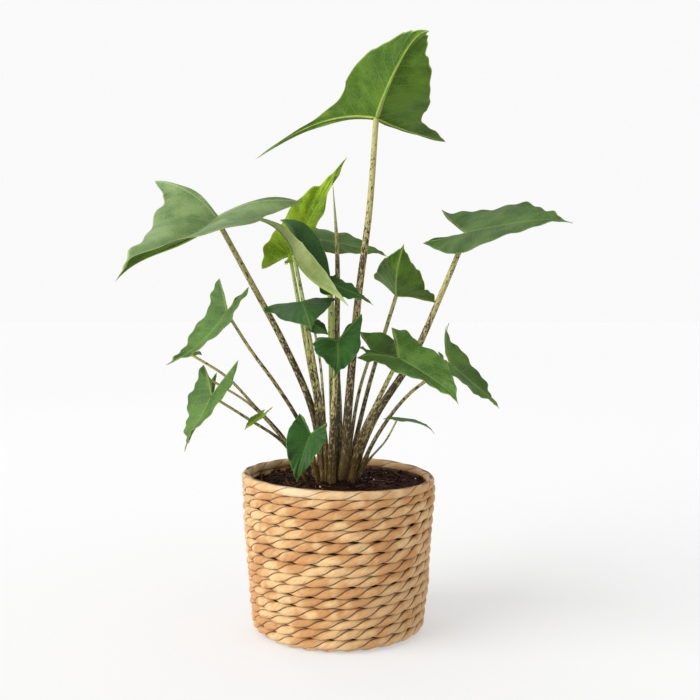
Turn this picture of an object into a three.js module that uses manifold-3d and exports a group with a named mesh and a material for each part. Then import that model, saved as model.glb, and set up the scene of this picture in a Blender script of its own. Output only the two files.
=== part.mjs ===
// Potted zebra alocasia in a basket of twisted water-hyacinth rope.
// Millimetres, +Z up. The origin lies on the floor under the middle of the basket; -Y is the front.
import * as THREE from 'three';
import Module from 'manifold-3d';
import { mergeVertices } from 'three/addons/utils/BufferGeometryUtils.js';

const wasm = await Module();
wasm.setup();

// Driving dimensions of the basket and what fills it
const basketHeight = 163;
const rimHeight = 8.4;
const wallThickness = 7.4;
const baseThickness = 8.5;
const linerThickness = 0.6;
const linerTop = 154;
const soilLevel = 149.7;
const clearance = 0.3;

// Driving dimensions of the crown, the short joined stem that carries the stalks
const crownX = -7;
const crownRadius = 27;
const crownDepth = 30;

// Fineness of the round pieces, stalks and blades
const roundSteps = 32;
const stalkSides = 8;
const stalkSteps = 7;
const bladeRings = 3;
const bladeSteps = [5, 4, 3]; // round each half: tip to widest place, widest place to lobe, lobe to notch
const bladeThickness = 0.8;

// Outside radius of the rope wall at a few heights, each [height, radius]
const wallStations = [[0, 86], [9, 89.6], [47, 93.6], [92, 96.6], [150, 100.2], [163, 99.3]];

// Finishes
const finish = (color, roughness) => new THREE.MeshStandardMaterial({ color, roughness, metalness: 0 });
const finishes = {
  rope: finish(0xd7ab73, 0.7),
  rim: finish(0xdcb27c, 0.65),
  base: finish(0xc99c66, 0.75),
  liner: finish(0x2a2a26, 0.35),
  soil: finish(0x3c2319, 0.95),
  crown: finish(0x6a5a36, 0.8),
  stalk: finish(0xa7a05c, 0.5),
  paleStalk: finish(0xb9bd72, 0.45),
  darkLeaf: finish(0x34602f, 0.42),
  midLeaf: finish(0x558741, 0.42),
  greyLeaf: finish(0x648c50, 0.45),
  brightLeaf: finish(0x82b432, 0.4),
  paleLeaf: finish(0xa5b982, 0.5),
};

const plant = new THREE.Group();

function addPiece(name, geometry, material) {
  const piece = new THREE.Mesh(geometry, material);
  piece.name = name;
  plant.add(piece);
  return piece;
}

// Solids for the cuts
function toSolid(geometry) {
  const bare = geometry.clone();
  bare.deleteAttribute('normal');
  bare.deleteAttribute('uv');
  const merged = mergeVertices(bare, 1e-3);
  return new wasm.Manifold(new wasm.Mesh({
    numProp: 3,
    vertProperties: merged.attributes.position.array,
    triVerts: new Uint32Array(merged.index.array),
  }));
}

function toGeometry(solid) {
  const { vertProperties, triVerts } = solid.getMesh();
  const geometry = new THREE.BufferGeometry();
  geometry.setAttribute('position', new THREE.BufferAttribute(vertProperties, 3));
  geometry.setIndex(new THREE.BufferAttribute(triVerts, 1));
  geometry.computeVertexNormals();
  return geometry;
}

// Turned pieces: a profile of [radius, height] points spun about the upright axis
function turned(profile, steps = roundSteps) {
  const points = profile.map(([radius, height]) => new THREE.Vector2(radius, height));
  return new THREE.LatheGeometry(points, steps).rotateX(Math.PI / 2);
}

function wallRadius(height) {
  const upper = Math.max(1, wallStations.findIndex(([station]) => station >= height));
  const [low, lowRadius] = wallStations[upper - 1];
  const [high, highRadius] = wallStations[upper];
  return THREE.MathUtils.mapLinear(height, low, high, lowRadius, highRadius);
}

function shell(bottom, top, outerInset, innerInset, edge) {
  const leastStep = 2;
  const inside = ([height]) => height > bottom + leastStep && height < top - leastStep;
  const heights = [bottom, ...wallStations.filter(inside).map(([height]) => height), top];
  const outer = heights.map((height) => [wallRadius(height) - outerInset, height]);
  const inner = heights.map((height) => [wallRadius(height) - innerInset, height]).reverse();
  outer[0][0] -= edge;
  outer[outer.length - 1][0] -= edge;
  return turned([...outer, ...inner, outer[0]]);
}

// Basket: rope wall, folded top row and coiled floor
const wallTop = basketHeight - rimHeight - clearance;
addPiece('basket_wall', shell(0, wallTop, 0, wallThickness, 0.8), finishes.rope);
addPiece('basket_rim', shell(wallTop + clearance, basketHeight, 0, wallThickness, 0.8), finishes.rim);

const floorInset = wallThickness + clearance;
addPiece('basket_base', turned([
  [0, 0],
  [wallRadius(0) - floorInset, 0],
  [wallRadius(baseThickness) - floorInset, baseThickness],
  [0, baseThickness],
]), finishes.base);

// Liner: a thin film cup inside the wall that keeps the soil and the water in
const filmBottom = baseThickness + clearance;
const filmInside = filmBottom + linerThickness;
const filmOuter = (height) => wallRadius(height) - floorInset;
const filmInner = (height) => filmOuter(height) - linerThickness;
const filmHeights = [47, 92, 150];
addPiece('plastic_liner', turned([
  [0, filmBottom],
  [filmOuter(filmBottom), filmBottom],
  ...filmHeights.map((height) => [filmOuter(height), height]),
  [filmOuter(linerTop), linerTop],
  [filmInner(linerTop), linerTop],
  ...filmHeights.map((height) => [filmInner(height), height]).reverse(),
  [filmInner(filmInside), filmInside],
  [0, filmInside],
]), finishes.liner);

// Crown: the stem under the stalks, its flat top level with the soil
function crownGeometry(margin) {
  const profile = [
    [0, soilLevel - crownDepth - margin],
    [crownRadius * 0.55, soilLevel - crownDepth - margin],
    [crownRadius + margin, soilLevel - crownDepth * 0.35],
    [crownRadius + margin, soilLevel + margin],
    [0, soilLevel + margin],
  ];
  return turned(profile, 24).translate(crownX, 0, 0);
}
addPiece('crown', crownGeometry(0), finishes.crown);

// Soil: fills the liner, with a hollow for the crown
const soilBottom = filmInside + clearance;
const soilRadius = (height) => filmInner(height) - clearance;
const soilBlock = turned([
  [0, soilBottom],
  [soilRadius(soilBottom), soilBottom],
  [soilRadius(47), 47],
  [soilRadius(92), 92],
  [soilRadius(soilLevel), soilLevel],
  [0, soilLevel],
]);
addPiece('soil', toGeometry(toSolid(soilBlock).subtract(toSolid(crownGeometry(clearance)))), finishes.soil);

// Blades: arrow-shaped sheets. Every blade is drawn flat, then folded, curled and bent.
// Lengths are in mm and angles in degrees; pairs are [left half, right half] seen from above
// with the tip of the leaf pointing forwards.
const usualBlade = {
  splay: 135, // angle between the tip of the leaf and a lobe
  folds: [15, 15], // rise of each half at the midrib
  curl: 20, // turn downwards from the midrib to the margin
  droop: 5, // turn downwards from the stalk to the tip
  tipDroop: 10, // further turn over the last part of the tip
  lobeDroop: 0,
  twist: 0,
  sweep: 0, // turn to the left from the stalk to the tip
  waists: [0.2, 0.2], // 0 for full lobes, 1 for lobes cut in towards the stalk
  points: [0.4, 0.4], // 0 for a blunt tip, 1 for a long drawn one
};

const leaves = [
  {
    name: 'top', material: finishes.midLeaf, length: 139, halfWidths: [50, 47], lobes: [113, 152],
    splay: 124,
    folds: [12, 42], curl: 4, droop: -5, tipDroop: 45, lobeDroop: 16, twist: -34, sweep: 17,
    waists: [0.6, 0.95], points: [0.4, 0.7],
    heading: -78, pitch: 32, roll: -7, place: [39, 0, 530], foot: [4, -6], across: [9.8, 5.6],
    route: [[12, -4, 250], [21, -3, 348], [32, -2, 435]],
  },
  {
    name: 'left', material: finishes.greyLeaf, length: 135, halfWidths: [62, 62], lobes: [89, 103],
    splay: 121,
    folds: [34, 29], curl: 47, droop: -10, tipDroop: 46, lobeDroop: -13, twist: 30, sweep: -35,
    waists: [0.36, 0.36],
    heading: -115, pitch: -30, roll: -10, place: [-124, -13, 427], foot: [-14, 5], across: [8.3, 5.2],
    route: [[-27, 1, 228], [-57, -4, 300], [-89, -8, 361]],
  },
  {
    name: 'right', material: finishes.greyLeaf, length: 112, halfWidths: [51, 51], lobes: [64, 48],
    splay: 143,
    folds: [16, 6], tipDroop: 15, lobeDroop: -48, sweep: -3,
    heading: -40, pitch: 9, roll: 25, place: [133, 1, 413], foot: [9, 5], across: [9.3, 5.2],
    route: [[38, 4, 220], [78, 3, 284], [105, 2, 345]],
  },
  {
    name: 'bright', material: finishes.brightLeaf, length: 110, halfWidths: [28, 22], lobes: [36, 14],
    splay: 146,
    folds: [5, 62], lobeDroop: 15, waists: [0, 0], points: [0.5, 0.5],
    heading: 0, pitch: 60, roll: 85, place: [-52, 34, 391], foot: [-14, 14], across: [6.7, 3.7],
    route: [[-19, 18, 214], [-31, 23, 276], [-41, 28, 331]],
  },
  {
    name: 'folded', material: finishes.paleLeaf, length: 90, halfWidths: [31, 26], lobes: [52, 60],
    splay: 145,
    folds: [36, 47], curl: -20, droop: -42, tipDroop: 24, lobeDroop: 75, twist: -40, sweep: 5,
    waists: [0, 0.8], points: [0.9, 0.4],
    heading: -54, pitch: -49, roll: -16, place: [-45, -14, 390], foot: [-9, -3], across: [6.7, 3.7],
    route: [[-16, -6, 215], [-25, -9, 277], [-34, -12, 332]],
  },
  {
    name: 'dark', material: finishes.darkLeaf, length: 47, halfWidths: [13, 21], lobes: [10, 10],
    splay: 125,
    folds: [10, 10], curl: 15, droop: 5,
    heading: -22, pitch: -20, roll: 30, place: [-11, -9, 362], foot: [-4, 12], across: [6.7, 5.2],
    route: [[-6, 8, 210], [-7, 5, 266], [-8, 2, 322], [-8, 0, 342]],
  },
  {
    name: 'back', material: finishes.midLeaf, length: 78, halfWidths: [34, 24], lobes: [42, 28],
    folds: [25, -12], lobeDroop: -10,
    heading: 22, pitch: -8, roll: 12, place: [-20, 46, 407], foot: [0, 22], across: [6.2, 5.2],
    route: [[1, 27, 220], [-3, 33, 286], [-8, 40, 343]],
  },
  {
    name: 'upper', material: finishes.darkLeaf, length: 73, halfWidths: [32, 32], lobes: [48, 52],
    splay: 121,
    folds: [43, 30], curl: 10, droop: -36, tipDroop: -5, twist: 10, waists: [0, 0], points: [0.2, 0.2],
    heading: -97, pitch: 28, roll: -27, place: [62, 45, 347], foot: [8, 20], across: [5.2, 4.1],
    route: [[21, 26, 205], [34, 33, 256], [47, 38, 299]],
  },
  {
    name: 'left_middle', material: finishes.midLeaf, length: 79, halfWidths: [29, 29], lobes: [42, 49],
    curl: 5, droop: -31, tipDroop: 0, lobeDroop: -13, twist: 6, sweep: -15, waists: [0, 0],
    points: [0.3, 0.3],
    heading: -163, pitch: -59, roll: -18, place: [-116, 0, 331], foot: [-22, 0], across: [5, 3.1],
    route: [[-38, 0, 210], [-64, 0, 254], [-90, 0, 290]],
  },
  {
    name: 'left_low', material: finishes.midLeaf, length: 58, halfWidths: [31, 31], lobes: [43, 41],
    splay: 146,
    folds: [23, 22], curl: 25, droop: 1, tipDroop: 19, twist: 20, sweep: -17, waists: [0, 0],
    heading: -134, pitch: -58, roll: 4, place: [-129, -24, 246], foot: [-31, -4], across: [3.7, 2.7],
    route: [[-57, -11, 196], [-93, -17, 222]],
  },
  {
    name: 'young_left', material: finishes.midLeaf, length: 24, halfWidths: [11, 11], lobes: [14, 14],
    curl: 15, droop: 0, twist: -18,
    heading: -142, pitch: -30, roll: 9, place: [-77, -24, 227], foot: [-29, -1], across: [2.5, 1.7],
    route: [[-44, -8, 183], [-61, -16, 206]],
  },
  {
    name: 'centre', material: finishes.darkLeaf, length: 64, halfWidths: [29, 29], lobes: [42, 45],
    splay: 121,
    folds: [-3, -4], curl: 15, droop: 15, tipDroop: 0, lobeDroop: -10, twist: 11, waists: [0, 0],
    points: [0.6, 0.6],
    heading: -81, pitch: -14, roll: 11, place: [-36, -31, 342], foot: [-15, -11], across: [4.8, 3.3],
    route: [[-19, -16, 202], [-24, -21, 251], [-30, -26, 295]],
  },
  {
    name: 'small', material: finishes.darkLeaf, length: 23, halfWidths: [9, 9], lobes: [13, 13],
    folds: [-7, -11], curl: 46, droop: 24, lobeDroop: 15,
    heading: -54, pitch: -17, roll: 46, place: [-25, -24, 320], foot: [-12, -14], across: [3.5, 2.3],
    route: [[-13, -17, 196], [-15, -19, 240], [-18, -21, 278]],
  },
  {
    name: 'heart', material: finishes.darkLeaf, length: 58, halfWidths: [24, 24], lobes: [39, 38],
    splay: 129,
    folds: [21, 11], curl: 27, droop: -15, tipDroop: 5, lobeDroop: 17, twist: -35, sweep: -7,
    points: [0.7, 0.7],
    heading: -86, pitch: -36, roll: 15, place: [0, -60, 304], foot: [-7, -20], across: [7.8, 4.1],
    route: [[-6, -33, 205], [-3, -46, 256]],
  },
  {
    name: 'right_middle', material: finishes.midLeaf, length: 88, halfWidths: [29, 29], lobes: [47, 46],
    splay: 131,
    folds: [31, 22], curl: 23, droop: -4, lobeDroop: 8, sweep: -25, waists: [0, 0], points: [0.3, 0.3],
    heading: -37, pitch: -21, roll: 17, place: [61, -45, 286], foot: [12, -14], across: [6.7, 4.1],
    route: [[22, -24, 200], [41, -34, 244]],
  },
  {
    name: 'behind', material: finishes.darkLeaf, length: 50, halfWidths: [21, 21], lobes: [26, 26],
    splay: 150,
    folds: [28, 39], curl: -16, droop: 23, twist: 13, sweep: 22,
    heading: 33, pitch: -17, roll: 69, place: [35, 4, 291], foot: [8, 13], across: [4.7, 3.1],
    route: [[14, 10, 202], [22, 7, 248]],
  },
  {
    name: 'right_low', material: finishes.midLeaf, length: 68, halfWidths: [27, 27], lobes: [47, 46],
    splay: 140,
    folds: [8, 1], curl: -18, droop: -8, tipDroop: 18, lobeDroop: -40, waists: [0.3, 0.3],
    heading: 16, pitch: -42, roll: 35, place: [118, 4, 276], foot: [16, 1], across: [4.6, 3.3],
    route: [[41, 2, 202], [74, 3, 245]],
  },
  {
    name: 'front', material: finishes.darkLeaf, length: 47, halfWidths: [22, 22], lobes: [21, 25],
    splay: 133,
    folds: [27, 29], curl: 2, droop: 33, tipDroop: 22, lobeDroop: -11,
    heading: -123, pitch: -51, roll: -18, place: [-27, -60, 212], foot: [-19, -22], across: [4.1, 2.7],
    route: [[-23, -34, 173], [-25, -47, 193]],
  },
  {
    name: 'young_right', material: finishes.midLeaf, length: 34, halfWidths: [16, 16], lobes: [20, 19],
    folds: [14, 13], curl: 30, droop: 19, tipDroop: 14,
    heading: -11, pitch: -3, roll: -4, place: [61, -20, 222], foot: [17, -8], across: [2.5, 1.7],
    route: [[31, -12, 177], [49, -16, 199]],
  },
  {
    name: 'young_back_high', material: finishes.midLeaf, length: 26, halfWidths: [7, 7], lobes: [12, 12],
    folds: [40, 40],
    heading: 75, pitch: 0, roll: 0, place: [-155, 18, 285], foot: [-31, 6], across: [3.7, 2.7],
    route: [[-57, 9, 197], [-89, 12, 232], [-117, 15, 261]],
  },
  {
    name: 'young_back_low', material: finishes.midLeaf, length: 22, halfWidths: [6, 6], lobes: [10, 10],
    folds: [40, 40],
    heading: 110, pitch: -80, roll: 0, place: [-133, 8, 259], foot: [-31, 2], across: [3.3, 2.3],
    route: [[-60, 4, 199], [-93, 6, 234]],
  },
];

// Half of a flat outline from the tip of the leaf to the notch over the stalk, each point [forward, left].
// The handles of its three curves are shares of the blade's length and width.
function halfOutline(leaf, side) {
  const { length } = leaf;
  const waist = leaf.waists[side];
  const point = leaf.points[side];
  const halfWidth = leaf.halfWidths[side];
  const lobeLength = leaf.lobes[side];
  const splay = THREE.MathUtils.degToRad(leaf.splay);
  const flat = (forward, left) => new THREE.Vector2(forward, left);
  const tip = flat(length, 0);
  const widest = flat(length * 0.1, halfWidth);
  const lobe = flat(lobeLength * Math.cos(splay), lobeLength * Math.sin(splay));
  const notch = flat(length * -0.035, 0);
  const back = widest.x - lobe.x;
  const fullLobe = flat(lobe.x + 0.38 * back, lobe.y + 0.3 * Math.abs(halfWidth - lobe.y) + length * 0.02);
  const curves = [
    new THREE.CubicBezierCurve(
      tip,
      flat(length * (0.9 - 0.22 * point), halfWidth * (0.42 - 0.4 * point)),
      flat(length * 0.48, halfWidth * (1 - 0.1 * point)),
      widest,
    ),
    new THREE.CubicBezierCurve(
      widest,
      flat(widest.x - 0.36 * back, halfWidth * (1 - 0.3 * waist)),
      fullLobe.lerp(lobe.clone().multiplyScalar(0.62), waist),
      lobe,
    ),
    new THREE.CubicBezierCurve(
      lobe,
      flat(lobe.x * 0.62 - length * 0.02, lobe.y * 0.62 - length * 0.035),
      flat(notch.x - length * 0.03, length * 0.05),
      notch,
    ),
  ];
  return curves.flatMap((curve, index) => curve.getSpacedPoints(bladeSteps[index]).slice(index ? 1 : 0));
}

// Whole outline from the notch round the right half, the tip and the left half
function bladeOutline(leaf) {
  const left = halfOutline(leaf, 0);
  const right = halfOutline(leaf, 1).map(({ x, y }) => new THREE.Vector2(x, -y));
  return [...right.reverse(), ...left.slice(1, -1)];
}

// Angle of the midrib at a share of the leaf's length, below zero behind the stalk
function midribSlope(leaf, share) {
  const over = Math.max(0, (share - 0.55) / 0.45);
  const turn = share < 0 ? (leaf.lobeDroop * share) / 0.6 : leaf.droop * share + leaf.tipDroop * over ** 2;
  return -THREE.MathUtils.degToRad(turn);
}

// A flat point moved onto the folded, curled and bent blade, lift mm above its middle
function bendPoint(leaf, forward, left, lift) {
  const { degToRad } = THREE.MathUtils;
  const share = forward / leaf.length;
  const side = left < 0 ? 1 : 0;
  const fold = degToRad(leaf.folds[side]);
  const turnPerMm = degToRad(leaf.curl) / leaf.halfWidths[side];
  const lean = fold - turnPerMm * Math.abs(left);
  const across = (Math.sin(fold) - Math.sin(lean)) / turnPerMm - Math.sin(lean) * lift;
  const rise = (Math.cos(lean) - Math.cos(fold)) / turnPerMm + Math.cos(lean) * lift;
  const section = new THREE.Vector2(left < 0 ? -across : across, rise);
  section.rotateAround(new THREE.Vector2(), degToRad(leaf.twist) * share);

  const point = new THREE.Vector3();
  const stretches = 12;
  for (let stretch = 0.5; stretch < stretches; stretch++) {
    const slope = midribSlope(leaf, (share * stretch) / stretches);
    point.x += (Math.cos(slope) * forward) / stretches;
    point.z += (Math.sin(slope) * forward) / stretches;
  }
  const slope = midribSlope(leaf, share);
  point.x -= Math.sin(slope) * section.y;
  point.z += Math.cos(slope) * section.y;

  const sweep = degToRad(leaf.sweep) * share || 1e-6;
  return new THREE.Vector3(
    (point.x * Math.sin(sweep)) / sweep - section.x * Math.sin(sweep),
    (point.x * (1 - Math.cos(sweep))) / sweep + section.x * Math.cos(sweep),
    point.z,
  );
}

// A blade is a sphere's grid of rings and columns laid out flat: the poles lie over the stalk,
// the equator is the margin, which growth moves outwards
function bladeGeometry(leaf, thickness, growth = 0) {
  const outline = bladeOutline(leaf);
  const columns = outline.length;
  const geometry = new THREE.SphereGeometry(1, columns, bladeRings * 2);
  const { position, uv } = geometry.attributes;
  for (let index = 0; index < position.count; index++) {
    const column = Math.round(uv.getX(index) * columns) % columns;
    const row = Math.round((1 - uv.getY(index)) * bladeRings * 2);
    const share = Math.min(row, bladeRings * 2 - row) / bladeRings;
    const flat = outline[Math.abs(column)];
    const reach = share === 1 ? 1 + growth / flat.length() : share;
    const lift = share === 1 ? 0 : (Math.sign(bladeRings - row) * thickness) / 2;
    const point = bendPoint(leaf, flat.x * reach, flat.y * reach, lift);
    position.setXYZ(index, point.x, point.y, point.z);
  }
  matchUnderside(geometry);
  return geometry;
}

// The squares of the underside are split along the same diagonals as those above them,
// so that the sheet keeps its thickness where it is twisted
function matchUnderside(geometry) {
  const corners = geometry.index.array;
  const { uv } = geometry.attributes;
  for (let first = 0; first + 5 < corners.length; first += 3) {
    const [a, b, d, nextB, c, nextD] = corners.slice(first, first + 6);
    const oneSquare = b === nextB && d === nextD;
    if (!oneSquare || uv.getY(b) > 0.5 + 1e-6) continue;
    corners.set([a, b, c, a, c, d], first);
    first += 3;
  }
}

function placeBlade(object, leaf) {
  const [roll, pitch, heading] = [leaf.roll, -leaf.pitch, leaf.heading].map(THREE.MathUtils.degToRad);
  object.rotation.set(roll, pitch, heading, 'ZYX');
  object.position.set(...leaf.place);
  object.updateMatrix();
}

// Stalks: tapered rods bent along a route, their feet cut level just above the crown
function stalkGeometry({ foot, route, place, across }) {
  const footHeight = soilLevel + clearance;
  const points = [[...foot, footHeight], ...route, place].map((point) => new THREE.Vector3(...point));
  const curve = new THREE.CatmullRomCurve3(points);
  const geometry = new THREE.CylinderGeometry(across[1] / 2, across[0] / 2, 1, stalkSides, stalkSteps);
  const { position } = geometry.attributes;
  for (let index = 0; index < position.count; index++) {
    const step = Math.round((position.getY(index) + 0.5) * stalkSteps);
    const [x, z] = [position.getX(index), position.getZ(index)];
    const side = Math.round((Math.atan2(z, x) / (2 * Math.PI)) * stalkSides + stalkSides) % stalkSides;
    const radius = THREE.MathUtils.lerp(across[0], across[1], step / stalkSteps) / 2;
    const reach = Math.hypot(x, z) > 1e-3 ? radius : 0;
    const angle = (side * 2 * Math.PI) / stalkSides;
    const tangent = curve.getTangentAt(step / stalkSteps);
    const right = new THREE.Vector3(1, 0, 0).addScaledVector(tangent, -tangent.x).normalize();
    const back = new THREE.Vector3().crossVectors(right, tangent);
    const point = curve.getPointAt(step / stalkSteps);
    point.addScaledVector(right, reach * Math.cos(angle));
    point.addScaledVector(back, reach * Math.sin(angle));
    if (step === 0) point.addScaledVector(tangent, (footHeight - point.z) / tangent.z);
    position.setXYZ(index, point.x, point.y, point.z);
  }
  return geometry;
}

for (const choice of leaves) {
  const leaf = { ...usualBlade, ...choice };
  placeBlade(addPiece(`leaf_${leaf.name}`, bladeGeometry(leaf, bladeThickness), leaf.material), leaf);

  const room = new THREE.Object3D();
  placeBlade(room, leaf);
  const roomGeometry = bladeGeometry(leaf, bladeThickness + 2 * clearance, clearance);
  roomGeometry.applyMatrix4(room.matrix);
  const pieces = toSolid(stalkGeometry(leaf)).subtract(toSolid(roomGeometry)).decompose();
  pieces.sort((one, other) => other.volume() - one.volume());
  addPiece(`stalk_${leaf.name}`, toGeometry(pieces[0]), finishes.stalk);
}

// New leaf: still rolled to a thin spear among the stalks
addPiece('new_leaf_spear', stalkGeometry({
  foot: [-3, 2],
  route: [[-1, 3, 236], [-1, 3, 319], [-1, 3, 391]],
  place: [-6, 4, 470],
  across: [7.3, 1.7],
}), finishes.paleStalk);

export default plant;
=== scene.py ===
import math

import bmesh
import bpy
import numpy as np
from mathutils import Euler, Matrix, Vector, noise


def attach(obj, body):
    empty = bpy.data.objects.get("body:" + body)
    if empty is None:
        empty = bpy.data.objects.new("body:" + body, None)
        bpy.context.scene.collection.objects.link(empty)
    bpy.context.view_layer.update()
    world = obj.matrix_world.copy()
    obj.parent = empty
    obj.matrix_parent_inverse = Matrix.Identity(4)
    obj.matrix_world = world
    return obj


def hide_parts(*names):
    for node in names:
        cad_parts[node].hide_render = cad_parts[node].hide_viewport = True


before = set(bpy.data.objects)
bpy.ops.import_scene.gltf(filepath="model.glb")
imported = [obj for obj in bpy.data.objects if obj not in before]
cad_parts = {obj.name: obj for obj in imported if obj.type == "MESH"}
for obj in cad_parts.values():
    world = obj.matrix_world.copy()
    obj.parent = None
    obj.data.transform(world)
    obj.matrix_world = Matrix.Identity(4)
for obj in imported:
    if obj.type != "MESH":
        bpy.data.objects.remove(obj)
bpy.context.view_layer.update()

# Camera: stands 1.1 m in front of the basket, at the height of the middle leaves, and looks a little down.
# The lens gives the framing of the photograph.
camera_place = (0.0122, -1.1, 0.3712)
look_down = math.radians(4.15)
bpy.ops.object.camera_add(location=camera_place, rotation=(math.pi / 2 - look_down, 0, 0))
camera = bpy.context.object
camera.data.sensor_width = 36
camera.data.lens = 54.6
bpy.context.scene.camera = camera
bpy.context.scene.view_settings.view_transform = "Standard"


# Floor: plain white studio paper on a light table, matt, with the faintest tooth, so shadows stay light.
# It is the stage and no part of the plant. The wrapper and the colour function come here first.
class Output:
    """A node output of a material. Sums and products of outputs add the nodes that work them out."""

    def __init__(self, tree, socket=None):
        self.tree = tree
        self.socket = socket

    def node(self, kind, inputs=None, out=0, **settings):
        made = self.tree.nodes.new("ShaderNode" + kind)
        for setting, value in settings.items():
            setattr(made, setting, value)
        for key, value in (inputs or {}).items():
            if isinstance(value, Output):
                self.tree.links.new(value.socket, made.inputs[key])
            else:
                made.inputs[key].default_value = value
        return Output(self.tree, made.outputs[out] if len(made.outputs) else None)

    def __add__(self, other):
        return self.node("Math", {0: self, 1: other}, operation="ADD")

    def __sub__(self, other):
        return self.node("Math", {0: self, 1: other}, operation="SUBTRACT")

    def __mul__(self, other):
        return self.node("Math", {0: self, 1: other}, operation="MULTIPLY")

    def __rsub__(self, other):
        return self.node("Math", {0: other, 1: self}, operation="SUBTRACT")

    __radd__ = __add__
    __rmul__ = __mul__


def new_finish(name):
    """An empty material, and the start of its nodes."""
    material = bpy.data.materials.new(name)
    material.use_nodes = True
    material.node_tree.nodes.clear()
    return material, Output(material.node_tree)


def colour(red, green, blue):
    """Screen values from 0 to 255 as the linear colour that nodes want."""
    shares = [value / 255 for value in (red, green, blue)]
    return (*(s / 12.92 if s <= 0.04045 else ((s + 0.055) / 1.055) ** 2.4 for s in shares), 1)


def blend(factor, first, second):
    """The first colour where the factor is 0, the second where it is 1."""
    return factor.node("Mix", {0: factor, 6: first, 7: second}, out=2, data_type="RGBA")


def ease(value, low, high):
    """Rises smoothly from 0 to 1 as the value goes from low to high."""
    return value.node("MapRange", {"Value": value, "From Min": low, "From Max": high},
                      interpolation_type="SMOOTHSTEP")


def stretch(vector, x, y, z):
    return vector.node("VectorMath", {0: vector, 1: (x, y, z)}, operation="MULTIPLY")


def shifted(vector, offset):
    return vector.node("VectorMath", {0: vector, 1: offset}, operation="ADD")


def one_of(vector, axis):
    return vector.node("SeparateXYZ", {0: vector}, out=axis)


def speckle(vector, scale, detail=3, roughness=0.55):
    return vector.node("TexNoise", {
        "Vector": vector, "Scale": scale, "Detail": detail, "Roughness": roughness,
    })


def bump(height, distance):
    """Relief of a height in metres."""
    return height.node("Bump", {"Height": height, "Distance": distance, "Strength": 1.0}, out="Normal")


def surface(paint, roughness, normal, coat=0.0, sheen=0.0, thin=0.0, shine=0.5):
    """Finishes a material; thin is the share of light that passes through, as in a leaf."""
    shell = paint.node("BsdfPrincipled", {
        "Base Color": paint, "Roughness": roughness, "Normal": normal, "Coat Weight": coat,
        "Sheen Weight": sheen, "Specular IOR Level": shine,
    })
    if thin:
        through = paint.node("BsdfTranslucent", {"Color": paint, "Normal": normal})
        shell = paint.node("MixShader", {0: thin, 1: shell, 2: through})
    paint.node("OutputMaterial", {"Surface": shell})


bpy.ops.object.select_all(action="DESELECT")
under_basket = -0.0003
bpy.ops.mesh.primitive_plane_add(size=14, location=(0, 0, under_basket))
floor = bpy.context.object
floor.name = "studio_floor"
paper, start = new_finish("studio_paper")
tooth = speckle(start.node("TexCoord", out="Object"), 900)
paper_colour = blend(tooth, colour(178, 178, 178), colour(181, 181, 181))
surface(paper_colour, 0.9, bump(tooth, 0.00005))
table_light = 0.42
paper_shell = paper.node_tree.nodes["Principled BSDF"].inputs
paper_shell["Emission Color"].default_value = (1, 1, 1, 1)
paper_shell["Emission Strength"].default_value = table_light
floor.data.materials.append(paper)

# Light: an even white room, broad soft light from a window on the left that reaches all of the floor alike,
# a weak lamp on the right and one behind that lets the thin leaves glow.
world = bpy.data.worlds.new("studio")
bpy.context.scene.world = world
world.use_nodes = True
room = Output(world.node_tree)
sight = room.node("LightPath", out="Is Camera Ray")
room_light = 0.72
backdrop_light = 0.95
world.node_tree.links.new(
    (sight * (backdrop_light - room_light) + room_light).socket,
    world.node_tree.nodes["Background"].inputs["Strength"],
)
world.node_tree.nodes["Background"].inputs["Color"].default_value = (1, 1, 1, 1)
bpy.ops.object.light_add(type="SUN", location=(-2, -1, 1.5))
window = bpy.context.object
window.name = "window_light"
window.data.energy = 3.1
window.data.angle = math.radians(54)
window_beam = Vector((0.82, 0.42, -0.42))
window.rotation_euler = window_beam.to_track_quat("-Z", "Y").to_euler()


def lamp(name, place, aim, size, power):
    """A square soft lamp of a size in metres and a power in watts."""
    bpy.ops.object.light_add(type="AREA", location=place)
    light = bpy.context.object
    light.name = name
    light.data.size = size
    light.data.energy = power
    light.rotation_euler = (Vector(aim) - Vector(place)).to_track_quat("-Z", "Y").to_euler()


lamp("fill_lamp", (1.5, -1.5, 0.9), (0, 0, 0.25), 1.4, 1.5)
lamp("back_lamp", (-0.9, 1.3, 1.5), (0, 0, 0.45), 0.6, 2)


# Basket wall: fourteen rows of two-ply rope, twisted from dried water-hyacinth stems and sewn row on row.
# Each row presses on the next, so its plies are taller than they are deep, and painted shade darkens the
# hollows.
# Sizes are in mm from here on, angles in degrees where they aren't converted.
mm = 0.001
basket_height = 163
wall_stations = [[0, 86], [9, 89.6], [47, 93.6], [92, 96.6], [150, 100.2], [163, 99.3]]
row_edges = [154.4, 145.4, 134.5, 123.7, 112, 101, 88.8, 77.8, 67, 56, 46.3, 34.4, 24.4, 13.6, 3.6]
ply_turns = 12.5
rope_depth = 4.3
rope_inset = 3.2
row_overlap = 0.75
strand_steps = 18
strand_sides = 20
strand_reach = 1.02
tightness = 0.17
squareness = 2.7
same_point = 0.00001
rim_tilt = math.radians(1.8)
pinch = 0.035
pinch_heading = 135
pinch_spread = 28


def wall_radius(height):
    heights, radii = zip(*wall_stations)
    return np.interp(height, heights, radii)


def flat_grid(name, columns, rows):
    """A grid to be shaped: the object and each point's share of the way along its columns and its rows."""
    bpy.ops.object.select_all(action="DESELECT")
    bpy.ops.mesh.primitive_grid_add(x_subdivisions=columns, y_subdivisions=rows, size=1)
    piece = bpy.context.object
    piece.name = name
    piece.data.name = name
    points = np.empty(len(piece.data.vertices) * 3)
    piece.data.vertices.foreach_get("co", points)
    points = points.reshape(-1, 3)
    return piece, points[:, 0] + 0.5, points[:, 1] + 0.5


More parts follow.
